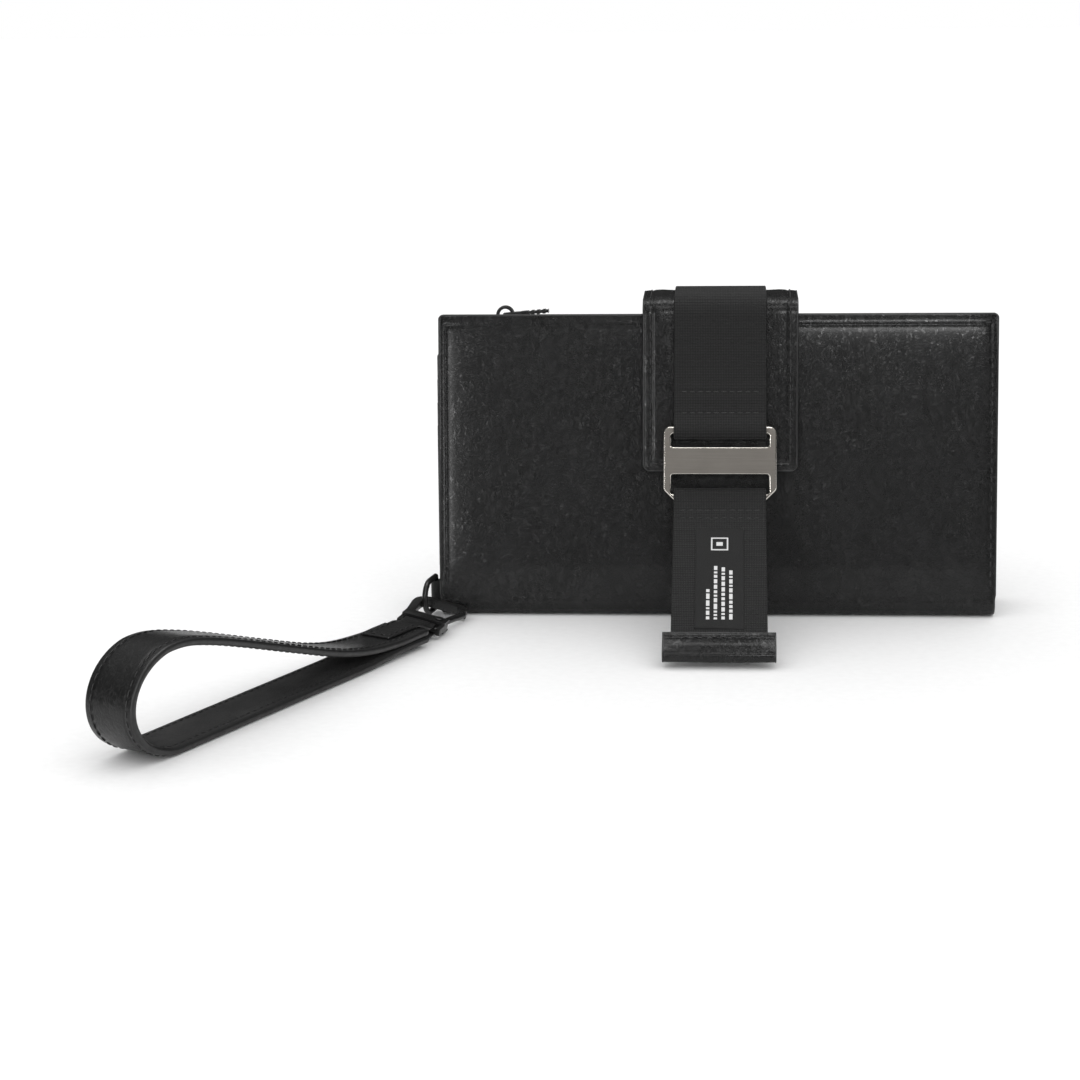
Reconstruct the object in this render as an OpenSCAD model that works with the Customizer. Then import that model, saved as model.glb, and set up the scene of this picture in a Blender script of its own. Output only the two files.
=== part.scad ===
// Wristlet pouch: a leather long wallet with a zipped pocket, a gusset-free front compartment,
// a webbing-covered closing tab with a slotted buckle and tail, and a clip-on leather wrist strap.
// Millimetres. +Z up, the front faces -Y, X runs along the width. The origin is the centre of the base.

/* [Body] */
// Width of the covers
body_w = 213; // [190:1:230]
// Length of the front cover, from the base along the leather
front_h = 116; // [112:0.5:122]
// Length of the back cover, from the base along the leather
back_h = 110; // [106:0.5:114]
// Depth of the base
base_d = 32; // [30:0.5:36]
// Backward lean of the front cover, in degrees
front_lean = 9; // [7:0.5:10]
// Backward lean of the back half, in degrees
back_lean = 5; // [3:0.5:6]
// Thickness of the cover leather
leather_t = 1.8; // [1.4:0.1:2.0]

/* [Zip pocket] */
// Clear depth of the zipped pocket
pocket_gap = 6.5; // [6:0.1:7]
// Half length of the closed zip
zip_half = 92; // [80:1:94]
// Place of the slider along the zip, from the middle
slider_x = -82; // [-86:1:-70]

/* [Closing tab] */
// Width of the leather tab
tab_w = 59; // [50:1:64]
// Length of the tab down the front, from the top of the arch
tab_drop = 60; // [50:1:66]
// Length of the tab down the back, from the top of the arch
tab_back_drop = 52; // [40:1:60]
// Width of the webbing
web_w = 35; // [25:1:36]
// Offset of the tab and webbing along the width
tab_x = 1.5; // [-10:0.5:10]

/* [Buckle and tail] */
// Width of the buckle plate
buckle_w = 42.8; // [40:0.2:48]
// Height of the buckle plate
buckle_h = 28.2; // [26:0.2:30]
// Slope of the hanging tail from the vertical, in degrees
tail_slope = 57; // [56:0.5:58]

/* [Wrist strap] */
// Width of the wrist strap
strap_w = 20; // [16:1:22]
// Thickness of the doubled wrist strap
strap_t = 2.8; // [2.2:0.1:3.2]

/* [Hidden] */
$fn = 48;
eps = 0.01;

// Shared sizes
fold_r = 4.5;            // outside radius of the bottom folds
fold_top = 7;            // where the cover plates start above the base
lining_t = 0.6;          // lining skins
wall_t = 1.0;            // pocket walls
card_t = 0.8;            // card pocket leather
gap = 0.3;               // clearance between bodies
cover_corner_r = 2;      // corners of the covers
spine_trim = 3;          // how much shorter the spine is at each end
edge_pull = 2;           // how far the card pockets stand out on the left

// Depths inside the back half, measured inwards from the back cover's outer face
lining_in = leather_t + lining_t;
wall_in = lining_in + pocket_gap;
card_in = wall_in + wall_t;
zip_mid = lining_in + pocket_gap / 2;
zip_z = back_h - 2.2;    // underside of the zip tapes
tape_t = 0.6;            // zip tape
teeth_w = 1.6;           // each row of teeth
teeth_t = 2.0;           // height of the teeth
pocket_bottom = 8;       // lower end of the pocket

// Tab arch over the top, in the YZ plane
hinge_y = 12.5;          // fold line of the tab

tab_leather_t = 1.5;
tab_lining_t = 0.7;
web_t = 1.3;
front_clear = 2.2;       // from the front cover to the lining of the tab
back_clear = 0.02;       // from the back cover to the tab sewn on it
snap_z = 72;             // height of the snap along the front cover
stud_r = 3.2;
socket_bore_r = 3.8;

snap_seat_r = 6;         // seat of the snap in the cover
snap_t = 3.0;            // thickness of the snap's socket
snap_out = 0.5;          // how far the socket stands out of the cover
stud_h = 2.2;
web_off = tab_lining_t + tab_leather_t;
tab_low = front_h - tab_drop;
crest_in = 118.4;        // height of the underside of the arch
crest_gap = 0.3;         // slit at the fold line
bend_r = 4;              // inside radius of the arch

// Buckle
buckle_t = 1.8;
buckle_slot_w = 37;
buckle_bar = 2.7;
buckle_top_slot = 4.9;
buckle_plate = 10.6;
buckle_low_slot = 7.3;
buckle_chamfer = 4.2;

buckle_y = -front_clear - web_off - 3.3;   // middle of the plate, in front of the cover
buckle_bar_z = 72;       // middle of the top bar along the front cover
tail_bar_z = buckle_bar_z + buckle_bar / 2 - buckle_h + (buckle_h - buckle_bar - buckle_top_slot
    - buckle_plate - buckle_low_slot) / 2;
loop_r = 3.3;            // webbing loops round the bars
loop_bore_r = 2.0;
double_h = 15;           // doubled webbing above the bar
tail_l = 79.5;           // tail from the bar to the end of the webbing
label_w = 18;
label_l = 50;
label_t = 0.4;
label_up = 12;            // label above the end of the webbing
end_w = 41;
end_t = 1.3;
end_l = 12;
end_over = 2;

// Zip slider and puller
tape_w = 0.85;
teeth_below = 0.7;
pocket_x = 100;
stop_l = 2.5;
stop_w = 4;
slider_l = 10;
slider_w = 5.4;
plate_t = 0.9;
plate_z = teeth_t - teeth_below + gap;
post_w = 0.9;
crown_w = 2.2;
crown_r = 3.6;
crown_bore_r = 2.3;
crown_z = plate_z + plate_t + 1.2;
link_w = 5.4;
link_r = 0.7;
link_l = 7;
grip_w = 5;
grip_t = 1.6;
groove_step = 2.2;         // ribs of the grip
groove_w = 1.0;
groove_depth = 0.3;
puller_l = 17;
puller_droop = -5;        // the puller rests a little raised

// Card pockets
card_left = -body_w / 2 - edge_pull;
card_right = 100;
card_bottom = 12;
card_top = 97;
card_step = 9;

// Ring and clip
ring_x = -108.6;
ring_y = -9.2;
ring_z0 = 0.6;
ring_bar = 2.2;
ring_in = 10;
ring_reach = 12.3;
ring_loop_r = 1.8;
ring_tail = 12;
eye_x = -110.9;
eye_y = -46.6;
eye_z = 4.4;
eye_r = 1.3;
eye_w = 14;
eye_room = 4.2;          // room for the keeper between the eye and the base
clip_turn = -12;
strap_turn = -28;
clip_roll = 12;
clip_r = 1.6;
clip_base_u = 10;
clip_base_t = 4.4;
clip_path = concat(
    [[-7, 8], [-7.6, 12], [-8.9, 22]],
    arc([-3.9, 24.8], 5, 176, 92, 6),
    arc([5, 26], 3.8, 88, -8, 5));
gate_v = 5.2;
gate_u = 7.6;
gate_t = 2.6;
gate_cut = 3;
gate_tip = [9.4, 24.6];
screw_r = 1.0;

// Wrist strap
keeper_w = 12;
keeper_t = 1.2;
keeper_l = 28;
strap_start = 8;
join_z = 1.25;
loop_far = 149;          // centre of the loop's far bend
loop_bend_r = 19;
loop_stretch = 1.3;      // the bend is longer than it is high

function rot_y(a, y, z) = [y * cos(a) + z * sin(a), -y * sin(a) + z * cos(a)];
function front_pt(y, z) = [-base_d / 2, 0] + rot_y(front_lean, y, z);
function back_pt(y, z) = [base_d / 2, 0] + rot_y(back_lean, y, z);
function arc(c, r, a0, a1, n = 10) =
    [for (i = [0:n]) c + r * [cos(a0 + (a1 - a0) * i / n), sin(a0 + (a1 - a0) * i / n)]];
function flip(v) = [for (i = [len(v) - 1:-1:0]) v[i]];

// Local frames: y = 0 is the outer face of the cover, z runs up along it
module front_frame() { translate([0, -base_d / 2, 0]) rotate([-front_lean, 0, 0]) children(); }
module back_frame() { translate([0, base_d / 2, 0]) rotate([-back_lean, 0, 0]) children(); }

// A sheet in the XZ plane of a local frame with its outline rounded at the corners
module sheet(x0, x1, z0, z1, y0, t, r_low = 0.01, r_top = 0.01) {
    translate([0, y0 + t, 0]) rotate([90, 0, 0]) linear_extrude(t)
        polygon(concat(
            arc([x0 + r_low, z0 + r_low], r_low, 270, 180, 5),
            arc([x0 + r_top, z1 - r_top], r_top, 180, 90, 5),
            arc([x1 - r_top, z1 - r_top], r_top, 90, 0, 5),
            arc([x1 - r_low, z0 + r_low], r_low, 0, -90, 5)));
}

// Extrude a YZ outline along X, centred on x
module along_x(x, w) {
    translate([x - w / 2, 0, 0]) rotate([90, 0, 90]) linear_extrude(w) children();
}

// ---------- covers ----------
module cover_back() color("#151515") back_frame()
    sheet(-body_w / 2, body_w / 2, fold_top, back_h, -leather_t, leather_t, spine_trim, cover_corner_r);

module cover_front() color("#151515") front_frame()
    difference() {
        sheet(-body_w / 2, body_w / 2, fold_top, front_h, 0, leather_t, spine_trim, cover_corner_r);
        translate([tab_x, -eps, snap_z]) rotate([-90, 0, 0])
            cylinder(r = snap_seat_r, h = leather_t + 2 * eps);
    }

module cover_spine() color("#111111") along_x(0, body_w - 2 * spine_trim) polygon(concat(
    [front_pt(gap, fold_top - gap)],
    arc([-base_d / 2 + fold_r + 0.7, fold_r], fold_r, 180 + front_lean / 2, 270, 8),
    arc([base_d / 2 - fold_r + 0.4, fold_r], fold_r, 270, 360 - back_lean / 2, 8),
    [back_pt(0, fold_top - eps), back_pt(-leather_t, fold_top - eps)],
    arc([base_d / 2 - fold_r + 0.4, fold_r], fold_r - leather_t, 355, 270, 8),
    arc([-base_d / 2 + fold_r + 0.7, fold_r], fold_r - leather_t, 270, 185, 8),
    [front_pt(leather_t, fold_top - gap)]));

module front_lining() color("#1c1c1c") front_frame()
    difference() {
        sheet(-body_w / 2 + 2, body_w / 2 - 2, fold_top + 1, front_h - 2, leather_t, lining_t, 2, 2);
        translate([tab_x, leather_t - eps, snap_z]) rotate([-90, 0, 0])
            cylinder(r = snap_seat_r, h = lining_t + 2 * eps);
    }

module back_lining() color("#1c1c1c") back_frame()
    sheet(-body_w / 2 + 3, body_w / 2 - 3, pocket_bottom, zip_z - eps, -lining_in, lining_t);

// ---------- zipped pocket ----------
module pocket_front_wall() color("#1a1a1a") back_frame()
    sheet(-pocket_x, pocket_x, pocket_bottom, zip_z + tape_t, -card_in, wall_t);

module pocket_floor() color("#1a1a1a") back_frame()
    translate([-pocket_x, -wall_in, pocket_bottom]) cube([2 * pocket_x, pocket_gap, wall_t]);

module pocket_side(x) back_frame()
    translate([x, -wall_in, pocket_bottom + wall_t])
        cube([wall_t, pocket_gap, zip_z - pocket_bottom - wall_t]);
module pocket_side_left() color("#1a1a1a") pocket_side(-pocket_x);
module pocket_side_right() color("#1a1a1a") pocket_side(pocket_x - wall_t);

module zip_tape(y0) back_frame()
    translate([-pocket_x, y0, zip_z]) cube([2 * pocket_x, tape_w, tape_t]);
module zip_tape_back() color("#101010") zip_tape(-lining_in - tape_w);
module zip_tape_front() color("#101010") zip_tape(-wall_in);

module zip_teeth(y0) back_frame()
    translate([-zip_half, y0, zip_z - teeth_below]) cube([2 * zip_half, teeth_w, teeth_t]);
module zip_teeth_back() color("#0c0c0c") zip_teeth(-lining_in - tape_w - teeth_w);
module zip_teeth_front() color("#0c0c0c") zip_teeth(-wall_in + tape_w);

module zip_stops() color("#303030") back_frame()
    for (side = [-1, 1])
        translate([side * (zip_half + stop_l / 2) - stop_l / 2, -zip_mid - stop_w / 2, zip_z - teeth_below])
            cube([stop_l, stop_w, teeth_t]);

module zip_slider() color("#1c1c1c") back_frame() translate([slider_x, -zip_mid, zip_z]) {
    for (z = [plate_z, -teeth_below - gap - plate_t])
        translate([0, 0, z]) linear_extrude(plate_t) slider_outline();
    translate([-slider_l / 2 + 1, -post_w / 2, -teeth_below - gap - plate_t])
        cube([3, post_w, plate_z + plate_t + teeth_below + gap]);
    difference() {
        translate([0, crown_w / 2, crown_z]) rotate([90, 0, 0]) cylinder(r = crown_r, h = crown_w);
        translate([0, crown_w, crown_z]) rotate([90, 0, 0]) cylinder(r = crown_bore_r, h = 2 * crown_w);
        translate([-crown_r - 1, -crown_w, plate_z - crown_r * 2 + plate_t / 2])
            cube([2 * crown_r + 2, 2 * crown_w, 2 * crown_r]);
    }
}

// Slider plate: round at the back, shouldered at the front
module slider_outline() difference() {
    union() {
        translate([-slider_l / 2, -slider_w / 2]) square([slider_l * 0.7, slider_w]);
        translate([slider_l * 0.2, 0]) circle(r = slider_w / 2);
    }
    translate([-slider_l, -slider_w]) square([slider_l / 2 + eps, slider_w * 2]);
}

// Frame of the puller: everything hangs from the bar through the crown
module puller_frame() back_frame()
    translate([slider_x, -zip_mid, zip_z + crown_z]) rotate([0, puller_droop, 0]) children();

module puller_link() color("#1c1c1c") puller_frame() {
    translate([0, link_w / 2, 0]) rotate([90, 0, 0]) cylinder(r = link_r, h = link_w);
    for (side = [-1, 1])
        translate([-link_r, side * (link_w / 2 - link_r) - link_r, -link_r])
            cube([link_l, 2 * link_r, 2 * link_r]);
    translate([link_l - 3 * link_r, -link_w / 2, -link_r]) cube([2 * link_r, link_w, 2 * link_r]);
}

module puller_grip() color("#202020") puller_frame() difference() {
    translate([link_l - link_r, -grip_w / 2, -grip_t / 2]) cube([puller_l - link_l + link_r, grip_w, grip_t]);
    for (i = [0:3])
        for (side = [-1, 1])
            translate([link_l + (i + 1) * groove_step, -grip_w, side * grip_t / 2 - groove_depth])
                cube([groove_w, grip_w * 2, 2 * groove_depth]);
}

// ---------- card pockets ----------
module card_layer(i, top, left) back_frame()
    sheet(left, card_right, card_bottom, top, -card_in - (i + 1) * card_t, card_t, 2, 1.5);
module card_panel() color("#171717") card_layer(0, card_top, card_left);
module card_pocket_1() color("#191919") card_layer(1, card_top - card_step, card_left);
module card_pocket_2() color("#171717") card_layer(2, card_top - 2 * card_step, card_left);
module card_pocket_3() color("#191919") card_layer(3, card_top - 3 * card_step, card_left);

// ---------- closing tab ----------
// Centres of the two bends of the arch, in the YZ plane
tab_cf = front_pt(bend_r - front_clear,
    (crest_in - bend_r + (bend_r - front_clear) * sin(front_lean)) / cos(front_lean));
tab_cb = back_pt(-bend_r, (crest_in - bend_r - bend_r * sin(back_lean)) / cos(back_lean));

module tab_half_front(k0, k1, low) polygon(concat(
    [front_pt(-front_clear - k0, low)],
    arc(tab_cf, bend_r + k0, 180 - front_lean, 90),
    [[hinge_y - crest_gap, crest_in + k0], [hinge_y - crest_gap, crest_in + k1]],
    arc(tab_cf, bend_r + k1, 90, 180 - front_lean),
    [front_pt(-front_clear - k1, low)]));

module tab_half_back(k0, k1, low) polygon(concat(
    [back_pt(k0, low)],
    arc(tab_cb, bend_r + k0, -back_lean, 90),
    [[hinge_y, crest_in + k0], [hinge_y, crest_in + k1]],
    arc(tab_cb, bend_r + k1, 90, -back_lean),
    [back_pt(k1, low)]));

module tab_back() color("#161616")
    along_x(tab_x, tab_w) tab_half_back(back_clear, tab_leather_t + tab_lining_t, back_h - tab_back_drop);
module webbing_back() color("#0e0e0e")
    along_x(tab_x, web_w) tab_half_back(web_off, web_off + web_t, back_h - tab_back_drop + 4);
module tab_front() color("#161616")
    along_x(tab_x, tab_w) tab_half_front(tab_lining_t, web_off, tab_low);
module tab_lining() color("#1c1c1c")
    along_x(tab_x, tab_w - 2) tab_half_front(0, tab_lining_t, tab_low + 1);

// The webbing is doubled above the buckle and ends in a loop round its top bar
module webbing_front() color("#0e0e0e") {
    along_x(tab_x, web_w) tab_half_front(web_off, web_off + web_t, buckle_bar_z + loop_r);
    front_frame() along_x(tab_x, web_w) translate([buckle_y, buckle_bar_z]) difference() {
        union() {
            circle(r = loop_r);
            polygon([[loop_r, 0], [loop_r, double_h], [loop_r - 2 * web_t, double_h], [-loop_r + 0.6, 1.5],
                [-loop_r, 0]]);
        }
        circle(r = loop_bore_r);
    }
}

module snap_socket() color("#555555") front_frame() translate([tab_x, 0, snap_z]) rotate([-90, 0, 0])
    difference() {
        translate([0, 0, -snap_out]) cylinder(r = snap_seat_r - 0.02, h = snap_t);
        translate([0, 0, -snap_out - eps]) cylinder(r = socket_bore_r, h = stud_h + 0.3);
    }
module snap_stud() color("#666666") front_frame()
    translate([tab_x, -front_clear, snap_z]) rotate([-90, 0, 0]) {
    cylinder(r = snap_seat_r, h = 0.5);
    cylinder(r = stud_r, h = stud_h + 0.3);
}

// ---------- buckle and tail ----------
module buckle() color("#a39c90") front_frame()
    translate([tab_x, buckle_y + buckle_t / 2, buckle_bar_z + buckle_bar / 2]) rotate([90, 0, 0])
        linear_extrude(buckle_t) difference() {
            polygon(concat(
                arc([-buckle_w / 2 + 2.7, -2.7], 2.7, 180, 90, 6),
                arc([buckle_w / 2 - 2.7, -2.7], 2.7, 90, 0, 6),
                [[buckle_w / 2, -buckle_h + buckle_chamfer], [buckle_w / 2 - buckle_chamfer, -buckle_h],
                 [-buckle_w / 2 + buckle_chamfer, -buckle_h], [-buckle_w / 2, -buckle_h + buckle_chamfer]]));
            translate([-buckle_slot_w / 2, -buckle_bar - buckle_top_slot])
                square([buckle_slot_w, buckle_top_slot]);
            translate([-buckle_slot_w / 2, -buckle_bar - buckle_top_slot - buckle_plate - buckle_low_slot])
                square([buckle_slot_w, buckle_low_slot]);
        }

// The tail hangs from the lower bar and stands on its end
module tail_frame() translate([tab_x, tail_pt[0], tail_pt[1]]) rotate([-tail_slope, 0, 0]) children();
tail_pt = front_pt(buckle_y, tail_bar_z);

module webbing_tail() color("#0e0e0e") tail_frame() along_x(0, web_w) difference() {
    union() {
        circle(r = loop_r);
        translate([-web_t, -tail_l]) square([2 * web_t, tail_l]);
    }
    circle(r = loop_bore_r);
}
module tail_label() color("#202020") tail_frame()
    translate([-label_w / 2, -web_t - label_t, -tail_l + label_up]) cube([label_w, label_t, label_l]);
module tail_end() color("#141414") tail_frame() along_x(0, end_w) difference() {
    translate([-web_t - end_t, -tail_l - end_over]) square([2 * (web_t + end_t), end_l]);
    translate([-web_t, -tail_l]) square([2 * web_t, end_l]);
}

// ---------- ring, clip and wrist strap ----------
module ring_loop() color("#171717") difference() {
    union() {
        translate([ring_x, ring_y, ring_z0 + ring_bar + gap])
            cylinder(r = ring_loop_r, h = ring_in - 2 * gap);
        translate([ring_x, ring_y - ring_loop_r, ring_z0 + ring_bar + gap])
            cube([ring_tail, 2 * ring_loop_r, ring_in - 2 * gap]);
    }
    translate([ring_x, ring_y, 0]) cylinder(r = ring_bar / 2 + 0.08, h = 40);
}

module d_ring() color("#1a1a1a") translate([ring_x, ring_y, ring_z0]) rotate([0, 0, clip_turn - 90])
    translate([0, 0, ring_bar / 2]) {
        cylinder(r = ring_bar / 2, h = ring_in + ring_bar);
        for (z = [0, ring_in + ring_bar])
            translate([0, 0, z]) {
                rotate([0, 90, 0]) cylinder(r = ring_bar / 2, h = ring_reach - ring_in / 2);
                sphere(r = ring_bar / 2);
            }
        translate([ring_reach - ring_in / 2, 0, (ring_in + ring_bar) / 2]) rotate([90, 0, 0])
            rotate([0, 0, -90]) rotate_extrude(angle = 180)
                translate([(ring_in + ring_bar) / 2, 0]) circle(r = ring_bar / 2);
    }

module clip_frame() {
    translate([eye_x, eye_y, eye_z]) rotate([0, 0, clip_turn]) rotate([0, clip_roll, 0]) children();
}

module clip_body() color("#161616") clip_frame() {
    translate([-eye_w / 2, 0, 0]) rotate([0, 90, 0]) cylinder(r = eye_r, h = eye_w);
    for (side = [-1, 1])
        translate([side * (eye_w / 2 + 0.8) - 0.8, -eye_r, -eye_r]) cube([1.6, clip_base_u, 2 * eye_r]);
    difference() {
        translate([-eye_w / 2 - 1.6, eye_room, -clip_base_t / 2])
            cube([eye_w + 3.2, clip_base_u - eye_room, clip_base_t]);
        translate([gate_v - gate_cut, eye_room + 1.4, -gate_t / 2 - gap])
            cube([gate_cut * 2 + 2, clip_base_u, gate_t + 2 * gap]);
        translate([gate_v, gate_u, -clip_base_t]) cylinder(r = screw_r, h = 2 * clip_base_t);
    }
    translate([0, 0, -clip_r]) linear_extrude(2 * clip_r) polygon(ribbon(clip_path, -clip_r, clip_r));
}

module clip_screw() color("#2a2a2a") clip_frame() translate([gate_v, gate_u, -clip_base_t / 2 - 0.3]) {
    cylinder(r = screw_r - 0.01, h = clip_base_t + 0.6);
    translate([0, 0, clip_base_t + 0.3 + eps]) cylinder(r = screw_r + 0.6, h = 0.5);
}

module clip_gate() color("#161616") clip_frame() difference() {
    union() {
        translate([gate_v, gate_u, -gate_t / 2]) cylinder(r = gate_t / 2 + 0.2, h = gate_t);
        translate([gate_v, gate_u, 0])
            rotate([0, 0, atan2(gate_tip[1] - gate_u, gate_tip[0] - gate_v)])
                rotate([0, 90, 0]) cylinder(r = gate_t / 2, h = norm(gate_tip - [gate_v, gate_u]));
    }
    translate([gate_v, gate_u, -clip_base_t]) cylinder(r = screw_r + 0.06, h = 2 * clip_base_t);
}

function tangent(p, i) = let (a = p[max(i - 1, 0)], b = p[min(i + 1, len(p) - 1)]) (b - a) / norm(b - a);
function side_of(p, t) = [for (i = [0:len(p) - 1]) let (d = tangent(p, i)) p[i] + t * [-d[1], d[0]]];
function ribbon(p, t0, t1) = concat(side_of(p, t0), flip(side_of(p, t1)));

// The strap's own frame: it runs towards -Y from the clip's eye, flat on the floor
module strap_frame() translate([eye_x, eye_y, 0]) rotate([0, 0, strap_turn]) children();

strap_mid = strap_t / 2;
join_l = strap_start + 21;   // the two ends lie on each other this far
loop_path = concat(
    [[-strap_start, join_z + strap_mid], [-join_l, join_z + strap_mid],
     [-join_l - 8, strap_mid + join_z * 0.4], [-join_l - 18, strap_mid + 0.02]],
    [for (q = arc([0, loop_bend_r], loop_bend_r - strap_mid, 270, 96, 16))
        [loop_stretch * q[0] - loop_far, q[1]]],
    [[-136, 34.6], [-123, 31], [-104, 24.9], [-85, 18.6], [-join_l - 32, join_z + strap_t + 6.9],
     [-join_l - 14, join_z + strap_t + strap_mid + 1.6],
     [-join_l, join_z + strap_t + strap_mid + 0.02], [-strap_start, join_z + strap_t + strap_mid + 0.02]]);

module wrist_strap() color("#151515") strap_frame() along_x(0, strap_w)
    polygon(ribbon(loop_path, -strap_mid, strap_mid));

keeper_low = join_z - keeper_t / 2;
keeper_high = join_z + 2 * strap_t + keeper_t / 2 + 0.04;
module wrist_keeper() color("#181818") {
    strap_frame() along_x(0, keeper_w) {
        polygon(ribbon([[-keeper_l, keeper_high], [-strap_start, keeper_high], [-4.5, eye_z + 1.4]],
            -keeper_t / 2, keeper_t / 2));
        polygon(ribbon([[-4.5, eye_z - 1.4], [-strap_start, keeper_low], [-keeper_l, keeper_low]],
            -keeper_t / 2, keeper_t / 2));
    }
    clip_frame() along_x(0, keeper_w) difference() {
        union() {
            circle(r = eye_r + 0.1 + keeper_t);
            translate([-5.5, -1.6]) square([5.5, 3.2]);
        }
        circle(r = eye_r + 0.1);
    }
}

cover_back();
cover_spine();
back_lining();
pocket_front_wall();
pocket_floor();
pocket_side_left();
pocket_side_right();
zip_tape_back();
zip_tape_front();
zip_teeth_back();
zip_teeth_front();
zip_stops();
card_panel();
card_pocket_1();
card_pocket_2();
card_pocket_3();
tab_back();
webbing_back();
ring_loop();
cover_front();
front_lining();
snap_socket();
tab_front();
tab_lining();
webbing_front();
snap_stud();
buckle();
webbing_tail();
tail_label();
tail_end();
zip_slider();
puller_link();
puller_grip();
d_ring();
clip_body();
clip_screw();
clip_gate();
wrist_strap();
wrist_keeper();
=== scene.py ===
"""Looks of the wristlet pouch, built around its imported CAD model."""
import math
import random
from bisect import bisect_right

import bpy
import bmesh
from mathutils import Matrix, Vector


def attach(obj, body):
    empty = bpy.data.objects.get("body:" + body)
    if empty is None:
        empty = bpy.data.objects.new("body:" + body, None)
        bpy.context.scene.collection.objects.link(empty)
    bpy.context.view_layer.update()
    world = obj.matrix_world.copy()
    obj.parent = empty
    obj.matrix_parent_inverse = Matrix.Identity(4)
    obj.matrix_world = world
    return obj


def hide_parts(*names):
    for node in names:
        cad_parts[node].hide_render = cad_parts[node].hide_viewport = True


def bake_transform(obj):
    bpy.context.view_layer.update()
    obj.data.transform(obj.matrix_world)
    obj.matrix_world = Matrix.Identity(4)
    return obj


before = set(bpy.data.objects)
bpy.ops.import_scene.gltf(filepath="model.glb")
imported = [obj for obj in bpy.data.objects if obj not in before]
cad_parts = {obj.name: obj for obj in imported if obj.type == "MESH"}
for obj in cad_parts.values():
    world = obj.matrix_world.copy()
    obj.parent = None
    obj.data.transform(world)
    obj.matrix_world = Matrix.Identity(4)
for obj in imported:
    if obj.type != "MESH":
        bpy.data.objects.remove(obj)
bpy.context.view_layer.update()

MM = 0.001
rnd = random.Random(7)

# ---------------- sizes, in mm, as the CAD model has them
BODY_W, BASE_D = 213.0, 32.0
FRONT_H, FRONT_LEAN = 116.0, math.radians(9)
BACK_H, BACK_LEAN = 110.0, math.radians(5)
LEATHER, FOLD_R = 1.8, 4.5
COVER_SEAM, COVER_TOP_SEAM = 2.3, 3.7      # how far the covers' seams are from the edges
POCKET_W = 200.0
ZIP_Z = BACK_H - 2.2                       # height of the zip in the back cover's frame

TAB_X, TAB_W = 1.5, 59.0
TAB_LOW, TAB_BACK_LOW = 56.0, 58.0         # lower ends of the tab, in front and behind
CREST, BEND_R = 118.4, 4.0                 # inside of the tab at its top, and its bends
TAB_CLEAR = 2.2                            # from the front cover to the tab's inside
LINING, TAB_LEATHER = 0.7, 1.5
WEB_W, WEB_T = 35.0, 1.3
WEB_OFF = LINING + TAB_LEATHER

BUCKLE_R = 3.3                             # outside of the webbing round a buckle bar
BUCKLE_Y = -TAB_CLEAR - WEB_OFF - BUCKLE_R
BUCKLE_W, BUCKLE_H, BUCKLE_T = 42.8, 28.2, 1.8
BUCKLE_BAR, TOP_SLOT, PLATE, LOW_SLOT, SLOT_W = 2.7, 4.9, 10.6, 7.3, 37.0
BAR_Z = 72.0
TAIL_BAR_Z = BAR_Z + BUCKLE_BAR - BUCKLE_H
TAIL_SLOPE, TAIL_L = math.radians(57), 79.5

STRAP_W, STRAP_T = 20.0, 2.8
EYE = (-110.9, -46.6, 4.4)                 # middle of the clip's eye
STRAP_TURN, CLIP_TURN, CLIP_ROLL = math.radians(-28), math.radians(-12), math.radians(12)


def front(x, y, z):
    """A point of the front cover's own frame: y is measured inwards from its outer face."""
    return Vector((x, -BASE_D / 2 + y * math.cos(FRONT_LEAN) + z * math.sin(FRONT_LEAN),
                   -y * math.sin(FRONT_LEAN) + z * math.cos(FRONT_LEAN)))


def back(x, y, z):
    """A point of the back cover's own frame: y is negative inwards from its outer face."""
    return Vector((x, BASE_D / 2 + y * math.cos(BACK_LEAN) + z * math.sin(BACK_LEAN),
                   -y * math.sin(BACK_LEAN) + z * math.cos(BACK_LEAN)))


# ---------------- node materials
def new_material(name, **values):
    """A material, its node tree and its shader, whose inputs are set from values."""
    m = bpy.data.materials.new(name)
    m.use_nodes = True
    t = m.node_tree
    t.nodes.clear()
    b = node(t, "ShaderNodeBsdfPrincipled", **values)
    t.links.new(b.outputs[0], node(t, "ShaderNodeOutputMaterial").inputs[0])
    return m, t, b


def node(tree, kind, **values):
    """A node with its inputs set; a name with a leading underscore is a property of the node."""
    n = tree.nodes.new(kind)
    for key, value in values.items():
        if key.startswith("_"):
            setattr(n, key[1:], value)
        else:
            n.inputs[key.replace("_", " ")].default_value = value
    return n


def texture(tree, kind, vector, **values):
    """A texture node that reads the coordinates in vector."""
    n = node(tree, "ShaderNodeTex" + kind, **values)
    tree.links.new(vector, n.inputs["Vector"])
    return n


def mapped(tree, vector, scale=(1, 1, 1), turn=(0, 0, 0)):
    """Coordinates stretched by scale and turned."""
    mapping = node(tree, "ShaderNodeMapping", Scale=scale, Rotation=turn)
    tree.links.new(vector, mapping.inputs["Vector"])
    return mapping.outputs[0]


def coords(tree, scale=(1, 1, 1), turn=(0, 0, 0)):
    """Object coordinates in millimetres, stretched by scale."""
    return mapped(tree, node(tree, "ShaderNodeTexCoord").outputs["Object"], [s / MM for s in scale], turn)


def uv_coords(tree, scale=(1, 1, 1)):
    """The piece's own flat coordinates in millimetres."""
    return mapped(tree, node(tree, "ShaderNodeAttribute", _attribute_name="flat").outputs["Vector"], scale)


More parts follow.
